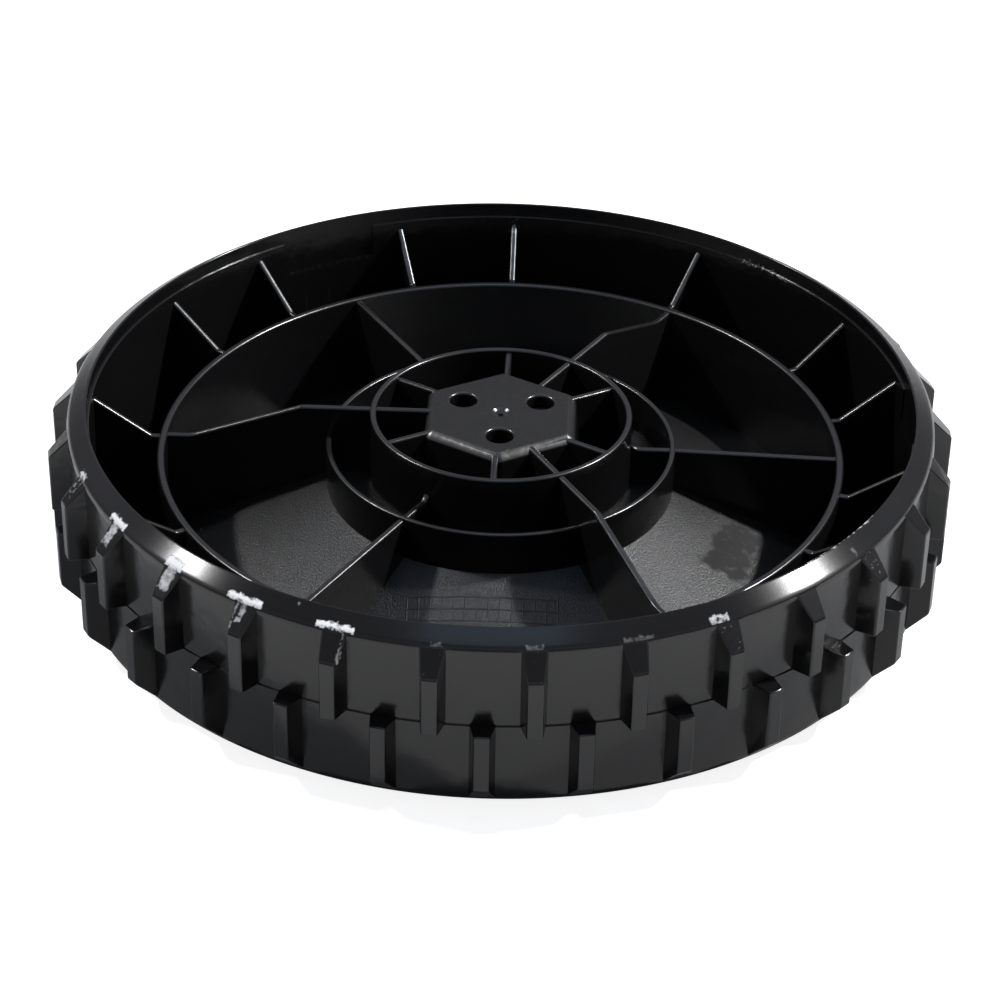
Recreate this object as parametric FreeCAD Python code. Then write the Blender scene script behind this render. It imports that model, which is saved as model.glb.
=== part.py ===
"""Drive wheel of a robotic lawn mower: one moulding with a lugged tread and a ribbed inner side.

The wheel lies on its outer face. Z runs along the axle towards the ribbed side, and the origin is the
centre of the face that the wheel lies on. Lengths are in millimetres and angles in degrees.
"""

import FreeCAD
import Part
import math
import os

from FreeCAD import Vector

# Tread: two rows of tapered lugs, half a pitch apart, that meet at the parting line
TREAD_R = 96.1
WHEEL_WIDTH = 42.0
LUG_HEIGHT = 4.4
LUG_COUNT = 30
LUG_ROOT_WIDTH = 5.3
LUG_TIP_WIDTH = 3.2
LUG_END_SLOPE = 5.1
LUG_SINK = 0.4
LUG_LAP = 0.25

# Rim: a sloped band at each edge of the tread and a rebate inside the open edge
BAND_WIDTH = 4.0
BAND_DROP = 2.6
RIM_LAND = 0.5
REBATE_WIDTH = 0.4
REBATE_DEPTH = 3.4

# Disc: flat under the outer pockets, a cone inside the middle ring, flat again at the hub
FLOOR_WALL = 2.8
HUB_FLOOR_DROP = 22.6

# Rings: gap to the rim or centreline radius, wall, and depth of the top below the rim's edge
OUTER_POCKET = 14.3
MID_RING_WALL = 1.7
MID_RING_DROP = 13.9
STEP_RING_R = 38.6
STEP_RING_WALL = 1.2
STEP_RING_DROP = 12.9
HUB_RING_R = 28.6
HUB_RING_WALL = 1.4
HUB_RING_DROP = 5.5
EDGE_BREAK = 0.35

# Webs: outer ribs on their radii, and spokes and hub ribs that lie along one side of theirs
WEB_WALL = 1.5
WEB_STEP = 0.5
RIB_END_DROP = 5.4
RIB_TOE = 1.8
TALL_TOE = 5.4
TALL_KNEE_R = 44.8
LOW_FILLET_R = 2.2
TALL_SPOKE_ANGLES = (60.0, 180.0, 300.0)
LOW_SPOKE_ANGLES = (0.0, 120.0, 240.0)
RIB_OFFSETS = (-30.0, -12.0, 12.0, 30.0)

# Hub boss: a hollow hexagon closed by the plate that the drive screws pass through
BOSS_CORNER_R = 19.2
BOSS_DROP = 5.7
BOSS_DRAFT = 5.0
BOSS_WALL = 2.2
BOSS_EDGE_R = 1.8
BOSS_BEND_R = 2.5
BOSS_CORNER_ANGLE = 30.0
BOSS_SIDES = 6
PLATE_WALL = 3.2
SCREW_CIRCLE_D = 20.0
SCREW_HOLE_D = 6.0
SCREW_COUNT = 3
HOLE_EDGE = 0.4
GATE_MARK_R = 2.1
GATE_DOT_R = 0.7
GATE_MARK_DEPTH = 0.4

# Allowances
CUT_CLEARANCE = 1.0
TOUCH = 1e-4

AXIS = Vector(0, 0, 1)
ORIGIN = Vector(0, 0, 0)
LUG_TIP_R = TREAD_R + LUG_HEIGHT
LUG_PITCH = 360.0 / LUG_COUNT
PARTING_Z = WHEEL_WIDTH / 2
REBATE_R = TREAD_R - BAND_WIDTH - RIM_LAND
RIM_INNER_R = REBATE_R - REBATE_WIDTH
LEDGE_Z = WHEEL_WIDTH - REBATE_DEPTH
MID_RING_R = RIM_INNER_R - OUTER_POCKET - MID_RING_WALL / 2
MID_RING_Z = WHEEL_WIDTH - MID_RING_DROP
STEP_RING_Z = WHEEL_WIDTH - STEP_RING_DROP
HUB_RING_Z = WHEEL_WIDTH - HUB_RING_DROP
HUB_FLOOR_Z = WHEEL_WIDTH - HUB_FLOOR_DROP
BOSS_Z = WHEEL_WIDTH - BOSS_DROP
WEB_CORE = FLOOR_WALL / 2
SIDE_SHIFT = -WEB_WALL / 2


def turned(shape, angle):
    """Return a copy of a shape turned about the axle."""
    copy = shape.copy()
    copy.rotate(ORIGIN, AXIS, angle)
    return copy


def revolved(corners):
    """Return the solid swept about the axle by a closed outline of (radius, height) corners."""
    points = [Vector(r, 0, z) for r, z in corners]
    outline = Part.makePolygon(points + points[:1])
    return Part.Face(outline).revolve(ORIGIN, AXIS, 360)


def floor_z(r):
    """Return the height of the disc's inner surface at a radius."""
    rise = (HUB_FLOOR_Z - FLOOR_WALL) / (MID_RING_R - STEP_RING_R)
    return FLOOR_WALL + rise * (MID_RING_R - min(max(r, STEP_RING_R), MID_RING_R))


def rim_and_disc():
    """Return the rim with its bands and rebate, in one section with the dished disc."""
    return revolved([
        (REBATE_R, WHEEL_WIDTH),
        (REBATE_R + RIM_LAND, WHEEL_WIDTH),
        (TREAD_R, WHEEL_WIDTH - BAND_DROP),
        (TREAD_R, BAND_DROP),
        (TREAD_R - BAND_WIDTH, 0),
        (MID_RING_R, 0),
        (STEP_RING_R, HUB_FLOOR_Z - FLOOR_WALL),
        (0, HUB_FLOOR_Z - FLOOR_WALL),
        (0, HUB_FLOOR_Z),
        (STEP_RING_R, HUB_FLOOR_Z),
        (MID_RING_R, FLOOR_WALL),
        (RIM_INNER_R, FLOOR_WALL),
        (RIM_INNER_R, LEDGE_Z),
        (REBATE_R, LEDGE_Z),
    ])


def ring(centre_r, wall, top_z):
    """Return a ring that stands on the disc, with both edges of its top broken."""
    foot_z = floor_z(centre_r) - WEB_CORE
    edge = min(EDGE_BREAK, wall / 3)
    inner_r = centre_r - wall / 2
    outer_r = centre_r + wall / 2
    return revolved([
        (inner_r + edge, top_z),
        (outer_r - edge, top_z),
        (outer_r, top_z - edge),
        (outer_r, foot_z),
        (inner_r, foot_z),
        (inner_r, top_z - edge),
    ])


def web(top, foot, shift):
    """Return an upright web along +X, from its top line and foot line, with broken top edges.

    The web's inner and outer ends lie inside the walls that it joins, and the shift moves it off its radius.
    """
    corners = [Vector(r, shift - WEB_WALL / 2, z) for r, z in top + foot[::-1]]
    body = Part.Face(Part.makePolygon(corners + corners[:1])).extrude(Vector(0, WEB_WALL, 0))
    return body.makeChamfer(min(EDGE_BREAK, WEB_WALL / 3), along(body, top))


def along(body, line):
    """Return the edges of a web that run along the straight stretches of a line of (radius, height) points."""
    def on_line(vertex):
        return any(math.hypot(vertex.X - r, vertex.Z - z) < TOUCH for r, z in line)
    level = [e for e in body.Edges if abs(e.BoundBox.YLength) < TOUCH]
    return [e for e in level if all(on_line(v) for v in e.Vertexes)]


def outer_rib():
    """Return one rib from the rim's wall down to the middle ring."""
    buried_r = RIM_INNER_R + REBATE_WIDTH
    toe_r = MID_RING_R + MID_RING_WALL / 2 + RIB_TOE
    toe_z = MID_RING_Z - WEB_STEP
    end_z = WHEEL_WIDTH - RIB_END_DROP
    top = [(buried_r, end_z), (RIM_INNER_R, end_z), (toe_r, toe_z), (MID_RING_R, toe_z)]
    foot = [(buried_r, WEB_CORE), (MID_RING_R, WEB_CORE)]
    return web(top, foot, 0)


def spoke_foot(inner_r):
    """Return the foot line of a spoke, half way down the disc's wall, in to a radius."""
    stations = (MID_RING_R, STEP_RING_R, inner_r)
    return [(r, floor_z(r) - WEB_CORE) for r in stations]


def tall_spoke():
    """Return a spoke that climbs from the middle ring to the hub ring's height and runs on to the boss."""
    inner_r = boss_apothem(BOSS_Z) - BOSS_WALL
    toe_r = MID_RING_R - MID_RING_WALL / 2 - TALL_TOE
    low_z = MID_RING_Z - WEB_STEP
    high_z = HUB_RING_Z - WEB_STEP
    top = [(MID_RING_R, low_z), (toe_r, low_z), (TALL_KNEE_R, high_z), (inner_r, high_z)]
    return web(top, spoke_foot(inner_r), SIDE_SHIFT)


def low_spoke():
    """Return a spoke that runs level from the middle ring and sweeps up a little at the hub ring's wall."""
    wall_r = HUB_RING_R + HUB_RING_WALL / 2
    top_z = STEP_RING_Z - WEB_STEP
    top = [(MID_RING_R, MID_RING_Z - WEB_STEP), (STEP_RING_R, top_z), (HUB_RING_R, top_z)]
    spoke = web(top, spoke_foot(HUB_RING_R), SIDE_SHIFT)
    side = LOW_FILLET_R + HUB_RING_WALL / 2
    corner = Part.makeBox(side, WEB_WALL, LOW_FILLET_R + WEB_CORE)
    corner.translate(Vector(HUB_RING_R, -WEB_WALL, top_z - WEB_CORE))
    centre = Vector(wall_r + LOW_FILLET_R, -WEB_WALL, top_z + LOW_FILLET_R)
    scoop = Part.makeCylinder(LOW_FILLET_R, WEB_WALL, centre, Vector(0, 1, 0))
    return spoke.fuse(corner.cut(scoop))


def hub_rib():
    """Return one rib from the hub ring to a corner of the boss."""
    top_z = BOSS_Z - WEB_STEP
    inner_r = BOSS_CORNER_R - BOSS_WALL
    top = [(HUB_RING_R, top_z), (inner_r, top_z)]
    foot = [(r, HUB_FLOOR_Z - WEB_CORE) for r, _ in top]
    return web(top, foot, SIDE_SHIFT)


def boss_apothem(z):
    """Return the distance from the axle to the boss's flats at a height."""
    flat = BOSS_CORNER_R * math.cos(math.pi / BOSS_SIDES)
    return flat + (BOSS_Z - z) * math.tan(math.radians(BOSS_DRAFT))


def hexagon(apothem, z):
    """Return a closed hexagon about the axle at a height."""
    corner_r = apothem / math.cos(math.pi / BOSS_SIDES)
    angles = [math.radians(BOSS_CORNER_ANGLE + 360.0 * k / BOSS_SIDES) for k in range(BOSS_SIDES + 1)]
    return Part.makePolygon([Vector(corner_r * math.cos(a), corner_r * math.sin(a), z) for a in angles])


def boss():
    """Return the boss as a solid hexagon with tapered sides, bent corners and a rounded top edge."""
    foot_z = HUB_FLOOR_Z - WEB_CORE
    body = Part.makeLoft([hexagon(boss_apothem(foot_z), foot_z), hexagon(boss_apothem(BOSS_Z), BOSS_Z)], True)
    corners = [e for e in body.Edges if e.BoundBox.ZLength > TOUCH]
    bent = body.makeFillet(BOSS_BEND_R, corners)
    rim = [e for e in bent.Edges if e.BoundBox.ZMin > BOSS_Z - TOUCH]
    return bent.makeFillet(BOSS_EDGE_R, rim)


def boss_well():
    """Return the hollow of the boss, open at the outer face and closed by the plate."""
    mouth_z = HUB_FLOOR_Z - FLOOR_WALL - CUT_CLEARANCE
    end_z = BOSS_Z - PLATE_WALL
    return Part.makeLoft([hexagon(boss_apothem(z) - BOSS_WALL, z) for z in (mouth_z, end_z)], True)


def screw_hole():
    """Return the cut for one screw hole, with a small chamfer at the plate's top."""
    shaft = Part.makeCylinder(SCREW_HOLE_D / 2, PLATE_WALL + 2 * CUT_CLEARANCE)
    shaft.translate(Vector(SCREW_CIRCLE_D / 2, 0, BOSS_Z - PLATE_WALL - CUT_CLEARANCE))
    edge = Part.makeCone(SCREW_HOLE_D / 2, SCREW_HOLE_D / 2 + HOLE_EDGE, HOLE_EDGE)
    edge.translate(Vector(SCREW_CIRCLE_D / 2, 0, BOSS_Z - HOLE_EDGE))
    return shaft.fuse(edge)


def gate_mark():
    """Return the shallow ring left by the injection point at the plate's centre."""
    base = Vector(0, 0, BOSS_Z - GATE_MARK_DEPTH)
    outer = Part.makeCylinder(GATE_MARK_R, GATE_MARK_DEPTH + CUT_CLEARANCE, base)
    return outer.cut(Part.makeCylinder(GATE_DOT_R, GATE_MARK_DEPTH + CUT_CLEARANCE, base))


def lug(flat_z, end_z, slope):
    """Return one lug on +Y, from its flat end to its sloped end at the tread's edge.

    Its flanks narrow from the tread to the tip, and the slope ends the tip short of the tread's edge.
    """
    flank = (LUG_ROOT_WIDTH - LUG_TIP_WIDTH) / LUG_HEIGHT * LUG_SINK
    root_half = (LUG_ROOT_WIDTH + flank) / 2
    root_r = TREAD_R - LUG_SINK
    tip_z = end_z - slope
    low_root, high_root = sorted((flat_z, end_z))
    low_tip, high_tip = sorted((flat_z, tip_z))
    return Part.makeWedge(
        -root_half, root_r, low_root, low_tip, -LUG_TIP_WIDTH / 2,
        root_half, LUG_TIP_R, high_root, high_tip, LUG_TIP_WIDTH / 2,
    )


def lugs():
    """Return every lug of both rows."""
    upper = lug(PARTING_Z - LUG_LAP, WHEEL_WIDTH - BAND_DROP, LUG_END_SLOPE)
    lower = lug(PARTING_Z + LUG_LAP, BAND_DROP, -LUG_END_SLOPE)
    turns = [k * LUG_PITCH for k in range(LUG_COUNT)]
    return [turned(upper, a + LUG_PITCH / 2) for a in turns] + [turned(lower, a) for a in turns]


def webs():
    """Return every rib and spoke."""
    rib = outer_rib()
    rib_angles = list(TALL_SPOKE_ANGLES)
    rib_angles += [a + offset for a in LOW_SPOKE_ANGLES for offset in RIB_OFFSETS]
    corner_angles = [BOSS_CORNER_ANGLE + 360.0 * k / BOSS_SIDES for k in range(BOSS_SIDES)]
    shapes = [turned(rib, a) for a in rib_angles]
    shapes += [turned(tall_spoke(), a) for a in TALL_SPOKE_ANGLES]
    shapes += [turned(low_spoke(), a) for a in LOW_SPOKE_ANGLES]
    shapes += [turned(hub_rib(), a) for a in corner_angles]
    return shapes


def wheel():
    """Return the whole moulding."""
    rings = [
        ring(MID_RING_R, MID_RING_WALL, MID_RING_Z),
        ring(STEP_RING_R, STEP_RING_WALL, STEP_RING_Z),
        ring(HUB_RING_R, HUB_RING_WALL, HUB_RING_Z),
    ]
    body = rim_and_disc().multiFuse(rings + webs() + [boss()] + lugs())
    holes = [turned(screw_hole(), BOSS_CORNER_ANGLE + 360.0 * k / SCREW_COUNT) for k in range(SCREW_COUNT)]
    return body.cut([boss_well(), gate_mark()] + holes).removeSplitter()


os.makedirs("parts", exist_ok=True)
wheel().exportStep("parts/wheel.step")
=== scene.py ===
"""Looks of a robotic mower's drive wheel: one black moulding with scuffed lugs on a pale studio floor.

The moulding is worked out as closed surfaces with rounded edges, which are united into one watertight skin
that stands for the construction model's node. Lengths are in metres, and angles in degrees unless a name
says otherwise.
"""

import logging
import math
from dataclasses import dataclass, field
from enum import Enum

import bpy
import numpy as np
from mathutils import Matrix, Vector


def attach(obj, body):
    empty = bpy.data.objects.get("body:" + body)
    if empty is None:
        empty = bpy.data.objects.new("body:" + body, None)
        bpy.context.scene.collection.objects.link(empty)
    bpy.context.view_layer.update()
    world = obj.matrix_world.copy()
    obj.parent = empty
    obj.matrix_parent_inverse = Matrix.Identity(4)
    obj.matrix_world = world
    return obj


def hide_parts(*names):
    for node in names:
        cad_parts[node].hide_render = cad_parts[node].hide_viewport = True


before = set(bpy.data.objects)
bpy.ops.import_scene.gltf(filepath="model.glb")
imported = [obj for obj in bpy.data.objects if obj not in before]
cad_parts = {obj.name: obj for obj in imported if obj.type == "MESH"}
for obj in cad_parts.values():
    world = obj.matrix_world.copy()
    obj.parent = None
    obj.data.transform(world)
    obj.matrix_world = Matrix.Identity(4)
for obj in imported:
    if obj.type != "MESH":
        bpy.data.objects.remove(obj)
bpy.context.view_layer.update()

LOG = logging.getLogger("wheel")
MM = 0.001
TINY = 1e-9
SAME_POINT = 1e-7
NOISE_MIDDLE = 0.5
Triple = tuple[float, float, float]
Colour = tuple[float, float, float, float]
Socket = bpy.types.NodeSocket


class Join(Enum):
    """How a second solid changes the first."""

    ADD = "UNION"
    CUT = "DIFFERENCE"


class Region(Enum):
    """Parts of the moulding whose mould was finished differently."""

    SATIN = 0
    BAND = 1
    GRAIN = 2
    EDGE = 3


@dataclass
class Skin:
    """A closed surface as arrays.

    Attributes:
        points: Rows of x, y and z.
        faces: One array of vertex numbers for each number of corners.
    """

    points: np.ndarray
    faces: list[np.ndarray]

    def around(self, angles: np.ndarray) -> "Skin":
        """Copies the surface about the axle.

        Args:
            angles: One turn in degrees for each copy.

        Returns:
            One surface that holds every copy: each point is turned by x' = x cos a - y sin a and
            y' = x sin a + y cos a.
        """
        turn = np.radians(np.atleast_1d(angles))[:, None]
        x, y, z = self.points.T
        turned = np.stack([
            x * np.cos(turn) - y * np.sin(turn),
            x * np.sin(turn) + y * np.cos(turn),
            z + 0 * turn,
        ], axis=-1)
        shift = len(x) * np.arange(len(turn))[:, None, None]
        faces = [(group[None] + shift).reshape(-1, group.shape[1]) for group in self.faces]
        return Skin(turned.reshape(-1, 3), faces)

    def outward(self) -> "Skin":
        """Turns every face round if the enclosed volume comes out negative."""
        volume = 0.0
        for group in self.faces:
            first = self.points[group[:, :1]]
            second = self.points[group[:, 1:-1]]
            third = self.points[group[:, 2:]]
            volume += float(np.sum(first * np.cross(second, third)))
        if volume >= 0:
            return self
        return Skin(self.points, [group[:, ::-1] for group in self.faces])


def joined(skins: list[Skin]) -> Skin:
    """Puts surfaces that don't meet into one.

    Args:
        skins: The surfaces.

    Returns:
        One surface with the vertex numbers moved up by the points that come before.
    """
    starts = np.cumsum([0] + [len(skin.points) for skin in skins])
    faces = [group + start for skin, start in zip(skins, starts) for group in skin.faces]
    return Skin(np.concatenate([skin.points for skin in skins]), faces)


def rounded(corners: list[Triple], steps: int, closed: bool = True) -> np.ndarray:
    """Rounds the corners of a flat outline.

    Each corner becomes an arc that touches both of its sides. The arc's centre lies on the line that halves
    the angle, radius / sin(half angle) from the corner, and its points turn evenly from one touching point
    to the other.

    Args:
        corners: Rows of two coordinates and a radius.
        steps: Straight steps in each arc.
        closed: Whether the last corner joins the first. The ends of an open outline stay sharp.

    Returns:
        Rows of two coordinates.
    """
    rows = np.array(corners, float)
    spots = rows[:, :2]
    radius = rows[:, 2:]
    back = np.roll(spots, 1, axis=0) - spots
    ahead = np.roll(spots, -1, axis=0) - spots
    back /= np.linalg.norm(back, axis=1, keepdims=True)
    ahead /= np.linalg.norm(ahead, axis=1, keepdims=True)
    half = np.arccos(np.clip(np.sum(back * ahead, axis=1, keepdims=True), -1, 1)) / 2
    if not closed:
        radius[[0, -1]] = 0
        half[[0, -1]] = math.pi / 4
        back[0] = -ahead[0, ::-1]
        ahead[-1] = back[-1, ::-1]
    middle = back + ahead
    middle /= np.maximum(np.linalg.norm(middle, axis=1, keepdims=True), TINY)
    centre = spots + middle * radius / np.sin(half)
    reach = radius / np.tan(half)
    start = (spots + back * reach - centre)[:, None]
    end = (spots + ahead * reach - centre)[:, None]
    turn = (math.pi - 2 * half)[:, None]
    share = np.linspace(0, 1, steps + 1)[None, :, None]
    swing = (np.sin((1 - share) * turn) * start + np.sin(share * turn) * end) / np.sin(turn)
    line = (centre[:, None] + swing).reshape(-1, 2)
    gap = np.linalg.norm(line - np.roll(line, 1, axis=0), axis=1)
    return line[gap > SAME_POINT]


def finer(line: np.ndarray, step: float) -> np.ndarray:
    """Adds points along a closed outline.

    Args:
        line: Rows of two coordinates.
        step: Distance between added points, measured along the outline.

    Returns:
        The outline's own points and the added ones, in order.
    """
    ring = np.concatenate([line, line[:1]])
    length = np.concatenate([[0], np.cumsum(np.linalg.norm(np.diff(ring, axis=0), axis=1))])
    extra = np.arange(step / 2, length[-1], step)
    clear = np.abs(extra[:, None] - length[None]).min(axis=1) > step / 4
    where = np.sort(np.concatenate([length[:-1], extra[clear]]))
    return np.stack([np.interp(where, length, ring[:, k]) for k in (0, 1)], axis=-1)


def grid_faces(rows: int, columns: int, wrap_rows: bool) -> np.ndarray:
    """Gives the quads of a grid whose columns close on themselves.

    Args:
        rows: Number of rows of points.
        columns: Number of points in a row.
        wrap_rows: Whether the last row joins the first.

    Returns:
        Rows of four vertex numbers.
    """
    i, j = np.meshgrid(np.arange(rows if wrap_rows else rows - 1), np.arange(columns), indexing="ij")
    i_next = (i + 1) % rows
    j_next = (j + 1) % columns
    corners = [i * columns + j, i_next * columns + j, i_next * columns + j_next, i * columns + j_next]
    return np.stack(corners, axis=-1).reshape(-1, 4)


def swept(outline: np.ndarray, angles: np.ndarray) -> np.ndarray:
    """Turns an outline about the axle: x = r cos a, y = r sin a, z = z.

    Args:
        outline: Rows of radius and height.
        angles: Turns in radians.

    Returns:
        Array of turns, points of the outline, and x, y and z.
    """
    turn = angles[:, None]
    radius, height = outline.T
    return np.stack([radius * np.cos(turn), radius * np.sin(turn), height + 0 * turn], axis=-1)


def revolved(outline: np.ndarray, segments: int) -> Skin:
    """Sweeps a closed outline of radius and height all the way about the axle, in even steps."""
    points = swept(outline, np.linspace(0, 2 * math.pi, segments, endpoint=False))
    return Skin(points.reshape(-1, 3), [grid_faces(segments, len(outline), True)]).outward()


def carried(sections: np.ndarray) -> Skin:
    """Skins a row of closed sections and closes both ends.

    Args:
        sections: Array of stations, points of a section, and x, y and z.

    Returns:
        The closed surface.
    """
    stations, size = sections.shape[:2]
    start = np.arange(size)[None]
    end = start[:, ::-1] + (stations - 1) * size
    return Skin(sections.reshape(-1, 3), [grid_faces(stations, size, False), start, end]).outward()


def rounded_block(half: np.ndarray, radius: float, steps: int) -> Skin:
    """Makes a block with rounded edges and corners about the origin.

    Every point of a lattice on the block's faces goes to the nearest point of the inner box, which is
    smaller by the radius all round, and from there one radius out towards where it was. Lattice lines near
    an edge lie at radius * tan(angle), so that the arc is divided evenly.

    Args:
        half: Half of the block's three sizes.
        radius: Radius of the edges.
        steps: Steps in half an edge's arc.

    Returns:
        The closed surface.
    """
    rim = radius * np.tan(np.linspace(0, math.pi / 4, steps + 1))
    count = 2 * len(rim)
    lines = [np.concatenate([-(h - radius) - rim[::-1], h - radius + rim]) for h in half]
    number = np.arange(count ** 3).reshape(count, count, count)
    sides = [number[0], number[-1].T, number[:, 0].T, number[:, -1], number[:, :, 0], number[:, :, -1].T]
    quads = np.concatenate([
        np.stack([s[:-1, :-1], s[:-1, 1:], s[1:, 1:], s[1:, :-1]], axis=-1).reshape(-1, 4) for s in sides
    ])
    used, faces = np.unique(quads, return_inverse=True)
    lattice = np.stack(np.meshgrid(*lines, indexing="ij"), axis=-1).reshape(-1, 3)[used]
    inner = np.clip(lattice, radius - half, half - radius)
    away = lattice - inner
    points = inner + radius * away / np.linalg.norm(away, axis=1, keepdims=True)
    return Skin(points, [faces.reshape(-1, 4)]).outward()


def mesh_object(name: str, skin: Skin) -> bpy.types.Object:
    """Puts a surface into a new object of the scene.

    Args:
        name: Name of the object and its mesh.
        skin: The surface.

    Returns:
        The object, at the origin.
    """
    mesh = bpy.data.meshes.new(name)
    sizes = np.concatenate([np.full(len(group), group.shape[1]) for group in skin.faces])
    corners = np.concatenate([group.ravel() for group in skin.faces])
    mesh.vertices.add(len(skin.points))
    mesh.vertices.foreach_set("co", skin.points.astype(np.float32).ravel())
    mesh.loops.add(len(corners))
    mesh.loops.foreach_set("vertex_index", corners.astype(np.int32))
    mesh.polygons.add(len(sizes))
    mesh.polygons.foreach_set("loop_start", (np.cumsum(sizes) - sizes).astype(np.int32))
    mesh.update(calc_edges=True)
    mesh.validate()
    obj = bpy.data.objects.new(name, mesh)
    bpy.context.scene.collection.objects.link(obj)
    return obj


def combine(base: bpy.types.Object, skin: Skin, join: Join) -> None:
    """Adds a closed surface to a solid, or cuts it away.

    Args:
        base: The solid that changes.
        skin: The other solid's surface.
        join: Whether it is added or cut.
    """
    other = mesh_object("operand", skin)
    change = base.modifiers.new(join.name, "BOOLEAN")
    change.operation = join.value
    change.solver = "MANIFOLD"
    change.object = other
    graph = bpy.context.evaluated_depsgraph_get()
    old = base.data
    new = bpy.data.meshes.new_from_object(base.evaluated_get(graph))
    base.modifiers.clear()
    base.data = new
    bpy.data.meshes.remove(old)
    leftover = other.data
    bpy.data.objects.remove(other)
    bpy.data.meshes.remove(leftover)


@dataclass
class Sizes:
    """Driving sizes of the moulding, as the construction model has them."""

    width: float = 42.0 * MM
    tread_r: float = 96.1 * MM
    band_width: float = 4.0 * MM
    band_drop: float = 2.6 * MM
    rim_land: float = 0.5 * MM
    rebate_width: float = 0.4 * MM
    rebate_depth: float = 3.4 * MM
    floor_wall: float = 2.8 * MM
    hub_floor_drop: float = 22.6 * MM
    outer_pocket: float = 14.3 * MM
    mid_wall: float = 1.7 * MM
    mid_drop: float = 13.9 * MM
    step_r: float = 38.6 * MM
    step_wall: float = 1.2 * MM
    step_drop: float = 12.9 * MM
    hub_r: float = 28.6 * MM
    hub_wall: float = 1.4 * MM
    hub_drop: float = 5.5 * MM
    boss_drop: float = 5.7 * MM
    boss_corner_r: float = 19.2 * MM
    boss_wall: float = 2.2 * MM
    boss_corner: float = 30.0
    boss_sides: int = 6
    low_angles: tuple[float, ...] = (0.0, 120.0, 240.0)
    segments: int = 300
    arc_steps: int = 4

    @property
    def rebate_r(self) -> float:
        """Inner radius of the rim's open edge."""
        return self.tread_r - self.band_width - self.rim_land

    @property
    def rim_r(self) -> float:
        """Inner radius of the rim's wall."""
        return self.rebate_r - self.rebate_width

    @property
    def mid_r(self) -> float:
        """Radius of the middle ring's centreline."""
        return self.rim_r - self.outer_pocket - self.mid_wall / 2

    @property
    def mid_z(self) -> float:
        """Height of the middle ring's top."""
        return self.width - self.mid_drop

    @property
    def step_z(self) -> float:
        """Height of the step ring's top."""
        return self.width - self.step_drop

    @property
    def hub_z(self) -> float:
        """Height of the hub ring's top."""
        return self.width - self.hub_drop

    @property
    def hub_floor_z(self) -> float:
        """Height of the floor at the hub."""
        return self.width - self.hub_floor_drop

    @property
    def boss_z(self) -> float:
        """Height of the boss's plate."""
        return self.width - self.boss_drop

    @property
    def boss_flat_r(self) -> float:
        """Distance from the axle to the boss's flats at its plate."""
        return self.boss_corner_r * math.cos(math.pi / self.boss_sides)

    @property
    def boss_corners(self) -> np.ndarray:
        """Angles of the boss's corners."""
        return self.boss_corner + 360 / self.boss_sides * np.arange(self.boss_sides)

    @property
    def core(self) -> float:
        """Depth that a wall's foot goes into the disc."""
        return self.floor_wall / 2

    def floor_z(self, radius: np.ndarray) -> np.ndarray:
        """Height of the disc's inner surface: level at the hub, a straight slope, then level to the rim."""
        return np.interp(radius, [self.step_r, self.mid_r], [self.hub_floor_z, self.floor_wall])


@dataclass
class Rim:
    """Rim and dished disc, swept from one outline."""

    sizes: Sizes
    groove_half: float = 0.32 * MM
    groove_depth: float = 0.35 * MM
    lip_r: float = 0.25 * MM
    ledge_r: float = 0.12 * MM
    edge_r: float = 0.7 * MM
    tread_edge_r: float = 2.0 * MM
    groove_r: float = 0.1 * MM
    foot_r: float = 1.0 * MM
    slope_r: float = 6.0 * MM
    bore_r: float = 8.0 * MM
    row_step: float = 2.0 * MM
    window_z: float = 31.0 * MM
    window_half: float = 7.5
    window_step: float = 1.0 * MM
    window_sill: float = 0.66 * MM
    window_past: float = 0.02 * MM
    window_over: float = 0.1 * MM
    window_steps: int = 12

    def build(self) -> Skin:
        """Gives the swept outline, from the open edge down the tread, along the outer face and back up."""
        s = self.sizes
        under_z = s.hub_floor_z - s.floor_wall
        half = s.width / 2
        outline = rounded([
            (s.rebate_r, s.width, self.lip_r),
            (s.rebate_r + s.rim_land, s.width, self.lip_r),
            (s.tread_r, s.width - s.band_drop, self.tread_edge_r),
            (s.tread_r, half + self.groove_half, self.groove_r),
            (s.tread_r - self.groove_depth, half, self.groove_r),
            (s.tread_r, half - self.groove_half, self.groove_r),
            (s.tread_r, s.band_drop, self.tread_edge_r),
            (s.tread_r - s.band_width, 0, self.edge_r),
            (s.mid_r, 0, self.slope_r),
            (s.step_r, under_z, self.slope_r),
            (self.bore_r, under_z, self.lip_r),
            (self.bore_r, s.hub_floor_z, self.lip_r),
            (s.step_r, s.hub_floor_z, 0),
            (s.mid_r, s.floor_wall, 0),
            (s.rim_r, s.floor_wall, self.foot_r),
            (s.rim_r, s.width - s.rebate_depth, self.ledge_r),
            (s.rebate_r, s.width - s.rebate_depth, self.ledge_r),
        ], s.arc_steps)
        return revolved(finer(outline, self.row_step), s.segments)

    def windows(self) -> Skin:
        """Gives the cutters of the shallow windows below the rebate, one above each low spoke."""
        s = self.sizes
        inner = s.rim_r - self.window_step
        outer = s.rebate_r + self.window_past
        top = s.width - s.rebate_depth + self.window_over
        sill = self.window_z - self.window_sill * (outer - inner) / s.rebate_width
        section = np.array([(inner, sill), (outer, self.window_z), (outer, top), (inner, top)])
        turns = np.linspace(-self.window_half, self.window_half, self.window_steps + 1)
        return carried(swept(section, np.radians(turns))).around(np.array(s.low_angles))


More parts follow.
